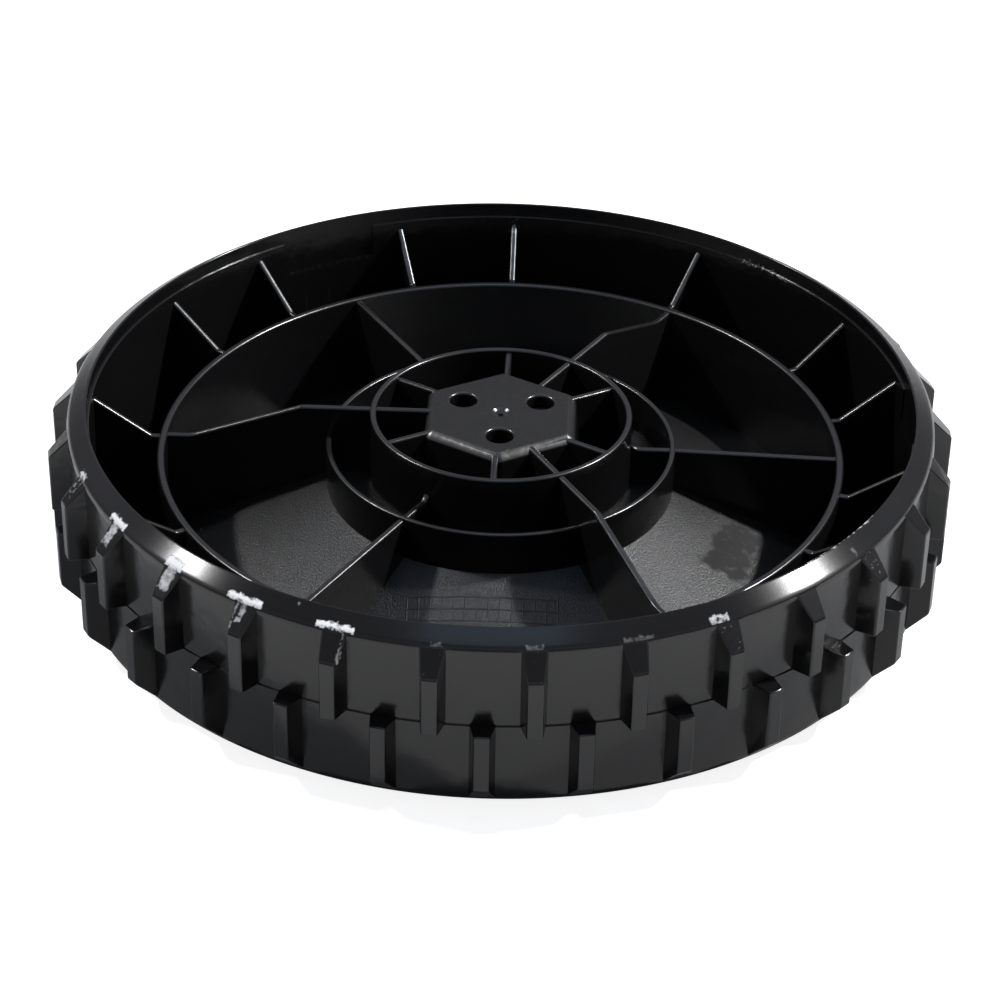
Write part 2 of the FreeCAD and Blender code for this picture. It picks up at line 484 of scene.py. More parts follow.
@dataclass
class Rings:
    """Middle, step and hub rings that stand on the disc."""

    sizes: Sizes
    top_share: float = 0.38

    def ring(self, centre: float, wall: float, top: float) -> Skin:
        """Gives one ring with a rounded top.

        Args:
            centre: Radius of the wall's centreline.
            wall: Thickness of the wall.
            top: Height of its top.

        Returns:
            The ring's surface.
        """
        s = self.sizes
        foot = float(s.floor_z(centre)) - s.core
        inner = centre - wall / 2
        outer = centre + wall / 2
        top_r = self.top_share * wall
        outline = rounded([
            (inner, top, top_r),
            (outer, top, top_r),
            (outer, foot, 0),
            (inner, foot, 0),
        ], s.arc_steps)
        return revolved(outline, s.segments)

    def build(self) -> Skin:
        """Gives the three rings."""
        s = self.sizes
        return joined([
            self.ring(s.mid_r, s.mid_wall, s.mid_z),
            self.ring(s.step_r, s.step_wall, s.step_z),
            self.ring(s.hub_r, s.hub_wall, s.hub_z),
        ])


@dataclass
class Webs:
    """Outer ribs, tall and low spokes and hub ribs, each a rounded section carried along its top line."""

    sizes: Sizes
    wall: float = 1.5 * MM
    step: float = 0.5 * MM
    top_r: float = 0.58 * MM
    knee_r: float = 4.0 * MM
    rib_knee_r: float = 1.0 * MM
    tall_toe_r: float = 8.0 * MM
    rib_end_drop: float = 5.4 * MM
    rib_toe: float = 1.8 * MM
    tall_toe: float = 5.4 * MM
    tall_knee: float = 44.8 * MM
    tall_end_r: float = 15.53 * MM
    low_sweep_r: float = 2.2 * MM
    low_rise: float = 2.64 * MM
    lap: float = 0.3 * MM
    rib_lap: float = 0.8 * MM
    tall_angles: tuple[float, ...] = (60.0, 180.0, 300.0)
    rib_offsets: tuple[float, ...] = (-30.0, -12.0, 12.0, 30.0)

    def web(self, line: list[Triple], shift: float) -> Skin:
        """Carries the web's section along a top line.

        The section goes up one side from the foot, over the rounded top and down the other side. Its lowest
        points are then moved to the foot, which follows the disc, half a wall deep.

        Args:
            line: Rows of radius, height and corner radius of the top line, from the outer end in.
            shift: Offset of the section's middle from the radius.

        Returns:
            The web's surface along +X.
        """
        s = self.sizes
        top = rounded(line, s.arc_steps, closed=False)
        lowest = -s.width
        cap = rounded([
            (-self.wall / 2, lowest, 0),
            (-self.wall / 2, 0, self.top_r),
            (self.wall / 2, 0, self.top_r),
            (self.wall / 2, lowest, 0),
        ], s.arc_steps, closed=False)
        across, drop = cap.T
        radius = top[:, :1] + 0 * across
        foot = s.floor_z(top[:, :1]) - s.core
        height = np.where(drop > lowest / 2, top[:, 1:] + drop, foot)
        return carried(np.stack([radius, shift + across + 0 * radius, height], axis=-1))

    def rib(self) -> Skin:
        """Gives one outer rib, from the rim's wall down to the middle ring."""
        s = self.sizes
        end_z = s.width - self.rib_end_drop
        toe_r = s.mid_r + s.mid_wall / 2 + self.rib_toe
        toe_z = s.mid_z - self.step
        return self.web([
            (s.rim_r + self.rib_lap, end_z, 0),
            (s.rim_r, end_z, self.lap),
            (toe_r, toe_z, self.rib_knee_r),
            (s.mid_r + self.lap, toe_z, 0),
        ], 0)

    def tall_spoke(self) -> Skin:
        """Gives a spoke that climbs from the middle ring to the hub ring's height and ends on the boss."""
        s = self.sizes
        low_z = s.mid_z - self.step
        high_z = s.hub_z - self.step
        return self.web([
            (s.mid_r - self.lap, low_z, 0),
            (s.mid_r - s.mid_wall / 2 - self.tall_toe, low_z, self.tall_toe_r),
            (self.tall_knee, high_z, self.knee_r),
            (self.tall_end_r, high_z, 0),
        ], -self.wall / 2)

    def low_spoke(self) -> Skin:
        """Gives a spoke that runs level from the middle ring and sweeps up at the hub ring's wall."""
        s = self.sizes
        top_z = s.step_z - self.step
        wall_r = s.hub_r + s.hub_wall / 2
        return self.web([
            (s.mid_r - self.lap, s.mid_z - self.step, 0),
            (s.step_r, top_z, self.knee_r),
            (wall_r, top_z, self.low_sweep_r),
            (wall_r - self.lap, top_z + self.low_rise, 0),
        ], -self.wall / 2)

    def hub_rib(self) -> Skin:
        """Gives one rib from the hub ring to a corner of the boss."""
        s = self.sizes
        top_z = s.boss_z - self.step
        end_r = s.boss_corner_r - s.boss_wall
        return self.web([(s.hub_r, top_z, 0), (end_r, top_z, 0)], -self.wall / 2)

    def build(self) -> Skin:
        """Gives every web in its place."""
        s = self.sizes
        ribs = list(self.tall_angles) + [a + o for a in s.low_angles for o in self.rib_offsets]
        return joined([
            self.rib().around(np.array(ribs)),
            self.tall_spoke().around(np.array(self.tall_angles)),
            self.low_spoke().around(np.array(s.low_angles)),
            self.hub_rib().around(s.boss_corners),
        ])


@dataclass
class Boss:
    """Hollow hexagonal boss with its screw plate.

    The bevel about the plate is three arcs, each given by the tilt at its end and its radius.
    """

    sizes: Sizes
    draft: float = 5.0
    plate: float = 3.2 * MM
    bevel: tuple[tuple[float, float], ...] = ((26.0, 0.8 * MM), (48.0, 5.0 * MM), (90.0, 0.8 * MM))
    bend_r: float = 2.5 * MM
    hole_r: float = 3.0 * MM
    hole_circle_r: float = 10.0 * MM
    hole_lip: float = 0.6 * MM
    holes: int = 3
    gate_r: float = 2.1 * MM
    dot_r: float = 0.7 * MM
    gate_depth: float = 0.4 * MM
    gate_slope: float = 36.0
    over: float = 1.0 * MM
    round_steps: int = 48

    def apothem(self, z: float) -> float:
        """Distance from the axle to the flats at a height, wider towards the foot by the draft."""
        s = self.sizes
        return s.boss_flat_r + (s.boss_z - z) * math.tan(math.radians(self.draft))

    def hexagon(self, apothem: float, bend: float, z: float) -> np.ndarray:
        """Gives one rounded hexagon.

        Args:
            apothem: Distance from the axle to the flats.
            bend: Radius of the rounded corners.
            z: Height.

        Returns:
            Rows of x, y and z.
        """
        s = self.sizes
        angle = np.radians(s.boss_corners)
        reach = apothem / math.cos(math.pi / s.boss_sides)
        corners = np.stack([reach * np.cos(angle), reach * np.sin(angle), bend + 0 * angle], axis=-1)
        flat = rounded(corners.tolist(), s.arc_steps)
        return np.column_stack([flat, np.full(len(flat), z)])

    def body(self) -> Skin:
        """Gives the boss as a solid with tapered sides and a bevel at the top.

        Along an arc of the bevel a step from tilt a to tilt b goes radius * (sin b - sin a) out and
        radius * (cos a - cos b) down.
        """
        s = self.sizes
        foot = s.hub_floor_z - s.core
        ends = np.radians([0.0] + [tilt for tilt, _ in self.bevel])
        arcs = [np.linspace(a, b, s.arc_steps + 1)[1:] for a, b in zip(ends, ends[1:])]
        tilt = np.concatenate([[0.0], *arcs])
        radius = np.repeat([r for _, r in self.bevel], s.arc_steps)
        inset = np.concatenate([[0.0], np.cumsum(radius * np.diff(np.sin(tilt)))])
        drop = np.concatenate([[0.0], np.cumsum(-radius * np.diff(np.cos(tilt)))])
        shoulder = self.apothem(s.boss_z - drop[-1])
        loops = [self.hexagon(self.apothem(foot), self.bend_r, foot)]
        loops += [
            self.hexagon(shoulder - i, self.bend_r - i, s.boss_z - d)
            for i, d in zip((inset[-1] - inset)[::-1], drop[::-1])
        ]
        return carried(np.array(loops))

    def well(self) -> Skin:
        """Gives the hollow behind the plate, open at the outer face."""
        s = self.sizes
        mouth = s.hub_floor_z - s.floor_wall - self.over
        end = s.boss_z - self.plate
        return carried(np.array([
            self.hexagon(self.apothem(z) - s.boss_wall, self.bend_r / 2, z) for z in (mouth, end)
        ]))

    def turned_cutter(self, outline: list[tuple[float, float]], across: float) -> Skin:
        """Carries a circle up a cutter's side line.

        Args:
            outline: Rows of radius and height, from the bottom up.
            across: Distance of the cutter's axis from the axle, along +X.

        Returns:
            The cutter's surface.
        """
        angle = np.linspace(0, 2 * math.pi, self.round_steps, endpoint=False)
        radius, height = np.array(outline).T[:, :, None]
        sections = np.stack([
            across + radius * np.cos(angle),
            radius * np.sin(angle),
            height + 0 * angle,
        ], axis=-1)
        return carried(sections)

    def hole(self) -> Skin:
        """Gives one screw hole's cutter, flared in a quarter round at the plate's top."""
        s = self.sizes
        turn = np.linspace(0, math.pi / 2, s.arc_steps + 1)
        lip_r = self.hole_r + self.hole_lip * (1 - np.cos(turn))
        lip_z = s.boss_z - self.hole_lip * (1 - np.sin(turn))
        low = s.boss_z - self.plate - self.over
        outline = [(self.hole_r, low), *zip(lip_r, lip_z), (lip_r[-1], s.boss_z + self.over)]
        return self.turned_cutter(outline, self.hole_circle_r)

    def gate(self) -> Skin:
        """Gives the cutter of the groove about the gate mark's dot, with a conical outer wall."""
        s = self.sizes
        low = s.boss_z - self.gate_depth
        high = s.boss_z + self.over
        cone = self.gate_depth / math.tan(math.radians(self.gate_slope))
        return revolved(np.array([
            (self.dot_r, high),
            (self.dot_r, low),
            (self.gate_r - cone, low),
            (self.gate_r, s.boss_z),
            (self.gate_r, high),
        ]), self.round_steps)

    def cutters(self) -> Skin:
        """Gives everything that is cut from the boss."""
        turns = self.sizes.boss_corner + 360 / self.holes * np.arange(self.holes)
        return joined([self.hole().around(turns), self.gate()])


@dataclass
class Lugs:
    """Two rows of tapered lugs, half a pitch apart."""

    sizes: Sizes
    height: float = 4.4 * MM
    count: int = 30
    root_width: float = 5.3 * MM
    tip_width: float = 3.2 * MM
    end_slope: float = 5.1 * MM
    sink: float = 0.5 * MM
    lap: float = 0.25 * MM
    edge_r: float = 0.45 * MM
    first_angle: float = 90.0

    @property
    def pitch(self) -> float:
        """Angle from one lug of a row to the next."""
        return 360 / self.count

    def lug(self, flat_z: float, end_z: float, slope: float) -> Skin:
        """Gives one lug along +X.

        A rounded block is stretched to the lug's form: across the lug its width shrinks evenly from the
        root to the tip, and along the axle its sloped end draws in by the slope over the same height.

        Args:
            flat_z: Height of the end at the parting line.
            end_z: Height of the sloped end at the root.
            slope: How far the tip ends short of the root, with its sign along the axle.

        Returns:
            The lug's surface.
        """
        s = self.sizes
        half = np.array([(self.height + self.sink) / 2, self.root_width / 2, abs(end_z - flat_z) / 2])
        block = rounded_block(half, self.edge_r, s.arc_steps // 2)
        rise, side, along = (block.points / half).T
        up = (rise + 1) / 2
        flank = (self.root_width - self.tip_width) / self.height
        out = s.tread_r - self.sink + up * (self.height + self.sink)
        width = self.root_width + flank * (s.tread_r - out)
        far_z = end_z - slope * up
        z = flat_z + (along + 1) / 2 * (far_z - flat_z)
        return Skin(np.stack([out, side * width / 2, z], axis=-1), block.faces).outward()

    def build(self) -> Skin:
        """Gives both rows."""
        s = self.sizes
        middle = s.width / 2
        turns = self.first_angle + self.pitch * np.arange(self.count)
        upper = self.lug(middle - self.lap, s.width - s.band_drop, self.end_slope)
        lower = self.lug(middle + self.lap, s.band_drop, -self.end_slope)
        return joined([upper.around(turns + self.pitch / 2), lower.around(turns)])


@dataclass
class Shader:
    """Small helper that builds one node tree."""

    tree: bpy.types.NodeTree

    @classmethod
    def bare(cls, owner: bpy.types.Material | bpy.types.World) -> "Shader":
        """Gives a material or a world an empty node tree."""
        owner.use_nodes = True
        owner.node_tree.nodes.clear()
        return cls(owner.node_tree)

    @classmethod
    def group(cls, name: str, inputs: dict[str, str], outputs: tuple[str, ...]) -> "Shader":
        """Starts a node group.

        Args:
            name: Name of the group.
            inputs: Kind of each input, Vector or Float, by its name.
            outputs: Names of the outputs, which are all numbers.

        Returns:
            The helper of the group's tree.
        """
        tree = bpy.data.node_groups.new(name, "ShaderNodeTree")
        for socket, kind in inputs.items():
            tree.interface.new_socket(socket, in_out="INPUT", socket_type=f"NodeSocket{kind}")
        for socket in outputs:
            tree.interface.new_socket(socket, in_out="OUTPUT", socket_type="NodeSocketFloat")
        return cls(tree)

    def feed(self, target: Socket, value: object) -> None:
        """Links an input to a socket, or sets it to a value."""
        if isinstance(value, Socket):
            self.tree.links.new(value, target)
        else:
            target.default_value = value

    def node(self, kind: str, feeds: dict[str | int, object], **settings: object) -> bpy.types.NodeOutputs:
        """Adds a node.

        Args:
            kind: Blender's name of the node type.
            feeds: A socket or a value for each input, by the input's name or number.
            settings: Values of the node's properties.

        Returns:
            The node's outputs.
        """
        made = self.tree.nodes.new(kind)
        for name, value in settings.items():
            setattr(made, name, value)
        for key, value in feeds.items():
            self.feed(made.inputs[key], value)
        return made.outputs

    def math(self, operation: str, first: object, second: object = 0.0, clamp: bool = False) -> Socket:
        """Adds a Math node of two sockets or numbers and gives its result, held to 0 and 1 if asked."""
        return self.node("ShaderNodeMath", {0: first, 1: second}, operation=operation, use_clamp=clamp)[0]

    def mix(self, factor: Socket, first: object, second: object) -> Socket:
        """Mixes two colours by a share of the second: a Mix node's inputs 6 and 7, and its output 2."""
        return self.node("ShaderNodeMix", {0: factor, 6: first, 7: second}, data_type="RGBA")[2]


@dataclass(frozen=True)
class Grain:
    """The moulded grain: fine pits over slow mottling."""

    fine_detail: float = 3.0
    fine_roughness: float = 0.65
    slow_share: float = 0.07
    slow_detail: float = 2.0

    def group(self) -> bpy.types.NodeTree:
        """Builds the grain.

        Returns:
            A group that takes Position and Scale and gives Height and Mottle.
        """
        s = Shader.group("moulded_grain", {"Position": "Vector", "Scale": "Float"}, ("Height", "Mottle"))
        inlet = s.node("NodeGroupInput", {})
        fine = s.node("ShaderNodeTexNoise", {
            "Vector": inlet["Position"],
            "Scale": inlet["Scale"],
            "Detail": self.fine_detail,
            "Roughness": self.fine_roughness,
        })
        slow = s.node("ShaderNodeTexNoise", {
            "Vector": inlet["Position"],
            "Scale": s.math("MULTIPLY", inlet["Scale"], self.slow_share),
            "Detail": self.slow_detail,
        })
        s.node("NodeGroupOutput", {"Height": fine["Fac"], "Mottle": slow["Fac"]})
        return s.tree


@dataclass(frozen=True)
class Mark:
    """A torn mark, held in a box that is turned about the axle.

    Attributes:
        angle: Turn of the box about the axle.
        centre: The box's distance from the axle, offset along the tread and height, in millimetres.
        half: Half sizes of the box in the same order.
        fill: Largest value of the field in millimetres. A small one lets the noise break the mark up.
        tone: Strength of the mark.
        torn: Share of the noise that the mark takes.
    """

    angle: float
    centre: Triple
    half: Triple
    fill: float = 1.5
    tone: float = 1.0
    torn: float = 1.0


@dataclass(frozen=True)
class Tear:
    """How the edges of a set of marks are torn.

    Attributes:
        name: Name of the node group.
        scale: Scale of the noise.
        depth: Reach of the noise in millimetres.
        crisp: How sharply the mask cuts off, per millimetre.
        detail: Octaves of the noise.
        roughness: Strength of each octave against the one before.
    """

    name: str
    scale: float
    depth: float
    crisp: float
    detail: float = 2.0
    roughness: float = 0.6

    def group(self, marks: tuple[Mark, ...]) -> bpy.types.NodeTree:
        """Builds the mask of the marks.

        Each point is taken into the mark's box in millimetres. The field there is how far the point lies
        inside the nearest side, up to the fill. Noise is added to it, and what is above zero is the mark.

        Args:
            marks: The marks.

        Returns:
            A group that takes Position and gives Mask.
        """
        s = Shader.group(self.name, {"Position": "Vector"}, ("Mask",))
        place = s.node("NodeGroupInput", {})["Position"]
        noise = s.node("ShaderNodeTexNoise", {
            "Vector": place,
            "Scale": self.scale,
            "Detail": self.detail,
            "Roughness": self.roughness,
        })
        reach = s.math("MULTIPLY", s.math("SUBTRACT", noise["Fac"], NOISE_MIDDLE), self.depth)
        mask = None
        for mark in marks:
            turn = math.radians(mark.angle)
            local = s.node("ShaderNodeMapping", {
                "Vector": place,
                "Location": Matrix.Rotation(turn, 3, "Z") @ Vector(mark.centre) * MM,
                "Rotation": (0.0, 0.0, turn),
                "Scale": (MM, MM, MM),
            }, vector_type="TEXTURE")
            off = s.node("ShaderNodeVectorMath", {0: local["Vector"]}, operation="ABSOLUTE")
            depth = s.node("ShaderNodeVectorMath", {0: mark.half, 1: off["Vector"]}, operation="SUBTRACT")
            x, y, z = s.node("ShaderNodeSeparateXYZ", {0: depth["Vector"]})
            nearest = s.math("MINIMUM", s.math("MINIMUM", x, y), z)
            deep = s.math("MINIMUM", nearest, mark.fill)
            rough = s.math("ADD", deep, s.math("MULTIPLY", reach, mark.torn))
            toned = s.math("MULTIPLY", s.math("MULTIPLY", rough, self.crisp, clamp=True), mark.tone)
            mask = toned if mask is None else s.math("MAXIMUM", mask, toned)
        s.node("NodeGroupOutput", {"Mask": mask})
        return s.tree


@dataclass(frozen=True)
class DateGrid:
    """Empty date table on the floor of the front pocket: rows that bow a little, in millimetres."""

    start: float = -18.2
    column: float = 2.49
    columns: int = 13
    first_row: float = 44.7
    row: float = 2.74
    rows: int = 2
    bow: float = 0.0023
    line: float = 0.13
    crisp: float = 12.0

    def ruled(self, s: Shader, along: Socket, step: float, count: int) -> tuple[Socket, Socket]:
        """Rules lines at even steps.

        Args:
            s: The tree's helper.
            along: Distance from the first line.
            step: Distance between lines.
            count: Number of steps.

        Returns:
            The mask of the lines, and the mask of the space from the first to the last.
        """
        half = step * count / 2
        off = s.math("PINGPONG", along, step / 2)
        lines = s.math("MULTIPLY", s.math("SUBTRACT", self.line, off), self.crisp, clamp=True)
        past = s.math("SUBTRACT", s.math("ABSOLUTE", s.math("SUBTRACT", along, half)), half)
        return lines, s.math("LESS_THAN", past, self.line)

    def group(self) -> bpy.types.NodeTree:
        """Builds the raised lines.

        Returns:
            A group that takes Position and gives Height.
        """
        s = Shader.group("date_grid", {"Position": "Vector"}, ("Height",))
        place = s.node("NodeGroupInput", {})["Position"]
        x, y, _ = s.node("ShaderNodeSeparateXYZ", {0: place})
        right = s.math("DIVIDE", x, MM)
        front = s.math("DIVIDE", y, -MM)
        across = s.math("SUBTRACT", right, self.start)
        bowed = s.math("ADD", front, s.math("MULTIPLY", s.math("MULTIPLY", right, right), self.bow))
        down = s.math("SUBTRACT", bowed, self.first_row)
        upright, wide = self.ruled(s, across, self.column, self.columns)
        level, tall = self.ruled(s, down, self.row, self.rows)
        lines = s.math("MAXIMUM", upright, level)
        s.node("NodeGroupOutput", {"Height": s.math("MULTIPLY", lines, s.math("MULTIPLY", wide, tall))})
        return s.tree


@dataclass(frozen=True)
class Plastic:
    """One mould finish of the black plastic.

    Attributes:
        name: Name of the material.
        roughness: Mean roughness.
        spread: How much the mottling changes it.
        grain_scale: Scale of the grain's noise.
        grain_depth: Depth of the grain in metres.
        mark_roughness: Roughness of the marks.
        mark_colour: Colour of the marks.
        line_height: Height of the raised lines.
        wave_depth: Depth of the slow waves.
        shine: Strength of the reflection, 0.5 for plain plastic.
        turned: How far turning marks about the axle spread a reflection across them.
        colour: Colour of the plastic.
    """

    name: str
    roughness: float
    spread: float
    grain_scale: float
    grain_depth: float
    mark_roughness: float = 0.75
    mark_colour: Colour = (0.72, 0.72, 0.73, 1.0)
    line_height: float = 0.0
    wave_depth: float = 0.0
    shine: float = 0.5
    turned: float = 0.0
    colour: Colour = (0.005, 0.005, 0.0054, 1.0)

    def material(self, grain: bpy.types.NodeTree, marks: bpy.types.NodeTree,
                 lines: bpy.types.NodeTree) -> bpy.types.Material:
        """Builds the material.

        Args:
            grain: The shared grain group.
            marks: The group with the mask of this finish's marks.
            lines: The group with the raised lines.

        Returns:
            The material.
        """
        made = bpy.data.materials.new(self.name)
        s = Shader.bare(made)
        place = s.node("ShaderNodeTexCoord", {})["Object"]
        pits = s.node("ShaderNodeGroup", {"Position": place, "Scale": self.grain_scale}, node_tree=grain)
        mask = s.node("ShaderNodeGroup", {"Position": place}, node_tree=marks)["Mask"]
        ruled = s.node("ShaderNodeGroup", {"Position": place}, node_tree=lines)["Height"]
        mottle = s.math("MULTIPLY", s.math("SUBTRACT", pits["Mottle"], NOISE_MIDDLE), self.spread)
        rough = s.math("ADD", mottle, self.roughness)
        torn_rough = s.math("MULTIPLY", mask, self.mark_roughness - self.roughness)
        height = s.math("MULTIPLY", pits["Height"], self.grain_depth)
        height = s.math("ADD", height, s.math("MULTIPLY", ruled, self.line_height))
        height = s.math("ADD", height, s.math("MULTIPLY", pits["Mottle"], self.wave_depth))
        bump = s.node("ShaderNodeBump", {"Strength": 1.0, "Distance": 1.0, "Height": height})
        feeds = {
            "Base Color": s.mix(mask, self.colour, self.mark_colour),
            "Roughness": s.math("ADD", rough, torn_rough),
            "Normal": bump["Normal"],
            "Specular IOR Level": self.shine,
            "Anisotropic": self.turned,
        }
        if self.turned:
            level = {0: place, 1: (1.0, 1.0, 0.0)}
            feeds["Tangent"] = s.node("ShaderNodeVectorMath", level, operation="MULTIPLY")["Vector"]
        plastic = s.node("ShaderNodeBsdfPrincipled", feeds)
        s.node("ShaderNodeOutputMaterial", {"Surface": plastic["BSDF"]})
        return made


@dataclass
class Wheel:
    """The whole moulding: built, united and dressed.

    Attributes:
        sizes: The driving sizes.
        smooth_angle: Largest angle that is shaded smooth.
        face_weight: How strongly large faces take over the normals at their corners.
        floor_reach: How near to the disc's surface a face counts as floor.
        floor_up: Least upward part of a floor's normal.
        plate_reach: How near to the plate's height a face counts as plate.
        plate_r: Radius that holds the plate.
        top_rise: Height above the disc from which a face counts as a top.
        top_up: Least upward part of a top's normal.
        scuffs: Marks of the band.
        smears_and_glints: Marks of the walls, lugs and tops; on the sloped ends of some lugs they are
            painted highlights and a painted reflection.
        stains: Marks of the floors.
    """

    sizes: Sizes = field(default_factory=Sizes)
    smooth_angle: float = 33.0
    face_weight: int = 100
    floor_reach: float = 0.4 * MM
    floor_up: float = 0.8
    plate_reach: float = 0.05 * MM
    plate_r: float = 18.5 * MM
    top_rise: float = 3.0 * MM
    top_up: float = 0.15
    scuffs: tuple[Mark, ...] = (
        Mark(203.4, (95.3, 0.0, 40.0), (0.5, 1.6, 1.2), 0.6, 0.8),
        Mark(215.6, (95.2, 0.0, 40.0), (0.8, 3.2, 1.2)),
        Mark(227.9, (95.0, 0.0, 40.2), (1.1, 2.6, 1.4)),
        Mark(239.6, (95.2, 0.0, 40.1), (0.7, 4.3, 1.2)),
        Mark(251.9, (95.15, 0.0, 40.1), (0.62, 4.1, 1.2), 0.7),
        Mark(264.5, (95.6, 0.0, 39.8), (0.4, 1.5, 1.0), 0.2, 0.1),
        Mark(276.0, (95.6, 0.0, 39.8), (0.5, 1.8, 1.0), 0.3, 0.12),
        Mark(288.5, (95.7, 0.0, 39.8), (0.5, 3.2, 1.0), 0.3, 0.1),
        Mark(299.6, (95.3, -1.0, 40.0), (0.8, 2.2, 1.2), 0.3, 0.6),
        Mark(246.5, (93.1, 0.0, 41.4), (0.3, 0.2, 0.8), 0.6, 0.35),
        Mark(322.0, (94.6, 0.0, 40.5), (0.9, 0.5, 0.9), 0.25, 0.09),
        *(Mark(angle, (91.75, 0.0, 41.9), (0.2, 2.4, 0.4), 0.05, 0.55) for angle in range(316, 329, 3)),
    )
    smears_and_glints: tuple[Mark, ...] = (
        Mark(204.0, (97.4, -0.6, 36.9), (1.6, 0.9, 3.0), 0.0, 0.6),
        Mark(216.0, (97.2, -0.6, 36.9), (1.9, 1.3, 3.0), 0.45, 0.75),
        Mark(228.0, (97.2, -0.1, 36.9), (1.9, 1.5, 3.0), 0.5, 0.75),
        # Painted highlight: a thin light line along one edge of the sloped end, where the edge catches the
        # lamp.
        Mark(240.0, (98.0, -1.8, 36.9), (2.4, 0.3, 3.0), 0.2, 0.5),
        Mark(240.0, (97.2, -0.5, 37.3), (1.4, 0.8, 3.0), 0.3, 0.8),
        # Painted highlight: a thin light line along one edge of the sloped end, where the edge catches the
        # lamp.
        Mark(252.0, (97.6, 1.9, 36.9), (2.0, 0.3, 3.0), 0.25, 0.4),
        # Painted reflection: faint grey patches on the sloped ends at 264 and 276 degrees stand in for the
        # ceiling panel's glint.
        Mark(264.0, (98.0, 0.0, 36.6), (2.0, 1.6, 2.4), -0.25, 0.18),
        Mark(276.0, (98.0, 0.0, 36.6), (2.0, 1.6, 2.4), -0.25, 0.15),
        Mark(300.0, (98.0, 0.0, 36.9), (2.2, 1.8, 3.0), -0.3, 0.5),
        Mark(324.0, (97.2, 0.0, 37.5), (1.8, 2.0, 3.0), -0.2, 0.35),
        Mark(123.9, (91.2, 0.0, 21.0), (0.6, 0.42, 2.2), 0.4, 0.01, 0.1),
        Mark(119.9, (91.2, 0.0, 21.5), (0.6, 0.42, 2.0), 0.4, 0.01, 0.1),
        Mark(115.7, (91.2, 0.0, 25.8), (0.6, 0.2, 4.6), 0.2, 0.01, 0.1),
        Mark(47.5, (91.4, 0.0, 38.6), (0.4, 7.0, 0.5), -0.05, 0.8),
        Mark(90.0, (90.0, 0.0, 36.0), (1.6, 1.2, 2.4), -0.1, 0.45),
    )
    stains: tuple[Mark, ...] = (
        Mark(343.5, (55.0, 0.0, 12.0), (5.5, 10.5, 6.0), 2.0, 0.95),
    )

    def build(self) -> bpy.types.Object:
        """Unites the rim, rings, webs, boss and lugs and cuts the boss's hollow and holes.

        Returns:
            The watertight moulding.
        """
        s = self.sizes
        boss = Boss(s)
        rim = Rim(s)
        wheel = mesh_object("wheel_moulding", rim.build())
        combine(wheel, rim.windows(), Join.CUT)
        for skin in (Rings(s).build(), Webs(s).build(), boss.body(), Lugs(s).build()):
            combine(wheel, skin, Join.ADD)
        for skin in (boss.well(), boss.cutters()):
            combine(wheel, skin, Join.CUT)
        wheel.data.name = wheel.name
        return wheel

    def shade(self, wheel: bpy.types.Object) -> None:
        """Smooths across small angles and weights the normals by face area.

        Args:
            wheel: The moulding.
        """
        mesh = wheel.data
        mesh.polygons.foreach_set("use_smooth", np.ones(len(mesh.polygons), bool))
        mesh.set_sharp_from_angle(angle=math.radians(self.smooth_angle))
        weighted = wheel.modifiers.new("weighted_normals", "WEIGHTED_NORMAL")
        weighted.keep_sharp = True
        weighted.weight = self.face_weight

    def split_regions(self, mesh: bpy.types.Mesh) -> None:
        """Gives each face the material of its region, from its centre and its normal.

        Args:
            mesh: The moulding's mesh.
        """
        s = self.sizes
        centre = np.empty(3 * len(mesh.polygons), np.float32)
        normal = np.empty(3 * len(mesh.polygons), np.float32)
        mesh.polygons.foreach_get("center", centre)
        mesh.polygons.foreach_get("normal", normal)
        x, y, z = centre.reshape(-1, 3).T
        up = normal.reshape(-1, 3)[:, 2]
        radius = np.hypot(x, y)
        above_rim = (z > s.width - s.band_drop) & (radius > s.rebate_r)
        rise = z - s.floor_z(radius)
        inside = radius < s.rim_r
        on_floor = (np.abs(rise) < self.floor_reach) & (up > self.floor_up) & inside
        on_plate = (z > s.boss_z - self.plate_reach) & (radius < self.plate_r)
        on_top = (rise > self.top_rise) & (up > self.top_up) & inside
        region = np.where(above_rim, Region.BAND.value, Region.SATIN.value)
        region = np.where(on_top, Region.EDGE.value, region)
        region = np.where(on_floor | on_plate, Region.GRAIN.value, region)
        mesh.polygons.foreach_set("material_index", region.astype(np.int32))

    def dress(self, wheel: bpy.types.Object) -> None:
        """Puts the finishes on the moulding.

        Args:
            wheel: The moulding.
        """
        grain = Grain().group()
        lines = DateGrid().group()
        scuffs = Tear("torn_scuffs", scale=900.0, depth=1.8, crisp=2.4).group(self.scuffs)
        smears_and_glints = Tear("torn_smears_and_glints", scale=900.0, depth=1.8, crisp=1.5).group(self.smears_and_glints)
        stains = Tear("floor_stains", scale=420.0, depth=7.0, crisp=0.6, detail=5.0).group(self.stains)
        satin = Plastic("satin_black_plastic", roughness=0.18, spread=0.08, grain_scale=2600.0,
                        grain_depth=0.01 * MM, wave_depth=0.15 * MM)
        turned = Plastic("turned_black_plastic", roughness=0.23, spread=0.03, grain_scale=2200.0,
                         grain_depth=0.004 * MM, shine=0.43, turned=0.9)
        grained = Plastic("grained_black_plastic", roughness=0.37, spread=0.09, grain_scale=2300.0,
                          grain_depth=0.18 * MM, mark_roughness=0.9, mark_colour=Plastic.colour,
                          line_height=0.12 * MM)
        edged = Plastic("edged_black_plastic", roughness=0.29, spread=0.08, grain_scale=3500.0,
                        grain_depth=0.004 * MM, wave_depth=0.1 * MM, shine=0.7)
        finishes = {
            Region.SATIN: (satin, smears_and_glints),
            Region.BAND: (turned, scuffs),
            Region.GRAIN: (grained, stains),
            Region.EDGE: (edged, smears_and_glints),
        }
        wheel.data.materials.clear()
        for region in Region:
            finish, marks = finishes[region]
            wheel.data.materials.append(finish.material(grain, marks, lines))
        self.split_regions(wheel.data)
        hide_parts("wheel")
        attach(wheel, "root")


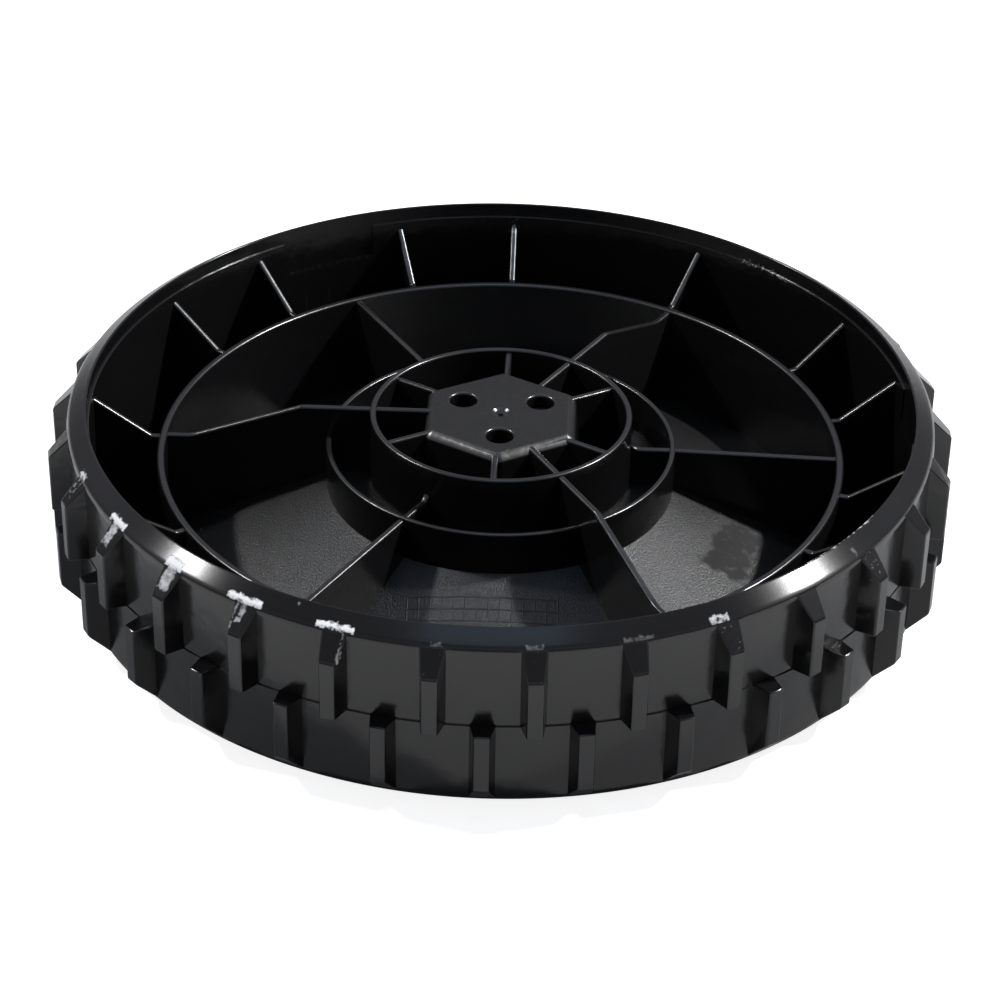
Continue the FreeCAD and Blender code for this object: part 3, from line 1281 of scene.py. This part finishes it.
@dataclass(frozen=True)
class Lamp:
    """A flat lamp that looks at a point."""

    name: str
    place: Triple
    aim: Triple
    size: tuple[float, float]
    power: float
    colour: Triple = (1.0, 1.0, 1.0)

    def hang(self) -> None:
        """Puts the lamp into the scene."""
        light = bpy.data.lights.new(self.name, "AREA")
        light.shape = "RECTANGLE"
        light.size, light.size_y = self.size
        light.energy = self.power
        light.color = self.colour
        lamp = bpy.data.objects.new(self.name, light)
        lamp.location = self.place
        lamp.rotation_euler = (Vector(self.aim) - Vector(self.place)).to_track_quat("-Z", "Y").to_euler()
        bpy.context.scene.collection.objects.link(lamp)


@dataclass
class Studio:
    """Pale floor, soft light and the camera."""

    sizes: Sizes
    floor_size: float = 8.0
    floor_drop: float = 0.15 * MM
    floor_colour: Colour = (0.45, 0.45, 0.45, 1.0)
    floor_glow: float = 0.86
    floor_gleam: float = 0.29
    gleam_start: float = 0.108
    gleam_full: float = 0.16
    lamps: tuple[Lamp, ...] = (
        Lamp("ceiling_panel", (0.0, 0.0, 1.1), (0.0, 0.0, 0.0), (0.4, 0.7), 0.9, (0.62, 0.95, 1.35)),
        Lamp("lamp_left", (-1.701, 0.443, 1.858), (0.0, 0.0, 0.03), (0.20, 0.20), 41.0),
        Lamp("lamp_right", (1.712, 0.443, 1.853), (0.0, 0.0, 0.03), (0.15, 0.15), 103.0),
    )
    sky_stops: tuple[tuple[float, Triple], ...] = (
        (0.0, (0.17, 0.17, 0.18)),
        (0.21, (0.2, 0.2, 0.21)),
        (0.38, (0.31, 0.31, 0.34)),
        (0.46, (0.46, 0.47, 0.53)),
        (0.54, (0.46, 0.47, 0.53)),
        (0.63, (0.25, 0.25, 0.28)),
        (0.77, (0.13, 0.13, 0.14)),
        (0.92, (0.23, 0.23, 0.25)),
        (1.0, (0.26, 0.26, 0.29)),
    )
    image_width: float = 1000.0
    focal_pixels: float = 2915.6
    sensor: float = 36.0
    distance: float = 648.6 * MM
    elevation: float = 30.326
    aim_side: float = 0.010
    aim_up: float = -2.159
    roll: float = 1.095
    azimuth: float = 1.5
    clip_start: float = 10.0 * MM

    def floor(self) -> None:
        """Lays the floor, which takes the lamps' light and the wheel's shadow.

        It glows for camera rays, and for mirror rays a little, from just outside the wheel on. The glow for
        mirror rays is painted brightness, and its fall to nothing towards the wheel is a painted shadow of
        the wheel in reflections.
        """
        half = self.floor_size / 2
        corners = np.array([[-half, -half], [half, -half], [half, half], [-half, half]])
        points = np.column_stack([corners, np.full(4, -self.floor_drop)])
        plane = mesh_object("floor", Skin(points, [np.array([[0, 1, 2, 3]])]))
        made = bpy.data.materials.new("pale_floor")
        s = Shader.bare(made)
        path = s.node("ShaderNodeLightPath", {})
        place = s.node("ShaderNodeTexCoord", {})["Object"]
        # Painted shadow: the glow for mirror rays falls to nothing towards the wheel, standing in for the
        # wheel's shadow on the floor as the tread mirrors it.
        outside_painted_shadow = s.node("ShaderNodeMapRange", {
            "Value": s.node("ShaderNodeVectorMath", {0: place}, operation="LENGTH")["Value"],
            "From Min": self.gleam_start,
            "From Max": self.gleam_full,
        }, interpolation_type="SMOOTHSTEP")
        gleam = s.math("MULTIPLY", outside_painted_shadow[0], self.floor_gleam)
        mirrored = s.math("MULTIPLY", path["Is Glossy Ray"], gleam)
        direct = s.math("MULTIPLY", path["Is Camera Ray"], self.floor_glow)
        glow = s.node("ShaderNodeEmission", {"Strength": s.math("ADD", direct, mirrored)})
        matte = s.node("ShaderNodeBsdfDiffuse", {"Color": self.floor_colour})
        both = s.node("ShaderNodeAddShader", {0: matte[0], 1: glow[0]})
        s.node("ShaderNodeOutputMaterial", {"Surface": both[0]})
        plane.data.materials.append(made)

    def sky(self) -> None:
        """Fills the room with soft light: grey at the walls, cool overhead."""
        world = bpy.data.worlds.new("studio")
        bpy.context.scene.world = world
        s = Shader.bare(world)
        ramp = s.tree.nodes.new("ShaderNodeValToRGB")
        for position, _ in self.sky_stops[1:-1]:
            ramp.color_ramp.elements.new(position)
        for element, (position, colour) in zip(ramp.color_ramp.elements, self.sky_stops):
            element.position = position
            element.color = (*colour, 1.0)
        view = s.node("ShaderNodeTexCoord", {})["Generated"]
        s.feed(ramp.inputs["Fac"], s.node("ShaderNodeSeparateXYZ", {0: view})["Z"])
        back = s.node("ShaderNodeBackground", {"Color": ramp.outputs["Color"]})
        s.node("ShaderNodeOutputWorld", {"Surface": back[0]})

    def camera(self) -> None:
        """Sets the camera: a distance from the open edge's middle, turned a little off it, then rolled."""
        rise = math.radians(self.elevation)
        back = np.array([0, -math.cos(rise), math.sin(rise)])
        right = np.array([1.0, 0, 0])
        up = np.cross(back, right)
        side = math.tan(math.radians(self.aim_side))
        lift = math.tan(math.radians(self.aim_up))
        aim = -back + side * right + lift * up
        aim /= np.linalg.norm(aim)
        level = np.cross(aim, (0, 0, 1))
        level /= np.linalg.norm(level)
        plumb = np.cross(level, aim)
        roll = math.radians(self.roll)
        axes = [
            math.cos(roll) * level + math.sin(roll) * plumb,
            math.cos(roll) * plumb - math.sin(roll) * level,
            -aim,
        ]
        place = Matrix.Translation((0, 0, self.sizes.width)) @ Matrix.Translation(back * self.distance)
        data = bpy.data.cameras.new("camera")
        data.sensor_width = self.sensor
        data.lens = self.focal_pixels * self.sensor / self.image_width
        data.clip_start = self.clip_start
        camera = bpy.data.objects.new("camera", data)
        turn = Matrix(np.array(axes).T.tolist()).to_4x4()
        camera.matrix_world = Matrix.Rotation(math.radians(self.azimuth), 4, "Z") @ place @ turn
        bpy.context.scene.collection.objects.link(camera)
        bpy.context.scene.camera = camera

    def build(self) -> None:
        """Sets up the whole studio."""
        self.floor()
        self.sky()
        for lamp in self.lamps:
            lamp.hang()
        self.camera()
        bpy.context.scene.view_settings.view_transform = "Standard"


def main() -> None:
    """Builds the wheel, dresses it and sets up the studio."""
    logging.basicConfig(level=logging.INFO, format="%(name)s: %(message)s")
    wheel = Wheel()
    moulding = wheel.build()
    wheel.dress(moulding)
    wheel.shade(moulding)
    LOG.info("%s has %d faces", moulding.name, len(moulding.data.polygons))
    Studio(wheel.sizes).build()


if __name__ == "__main__":
    main()
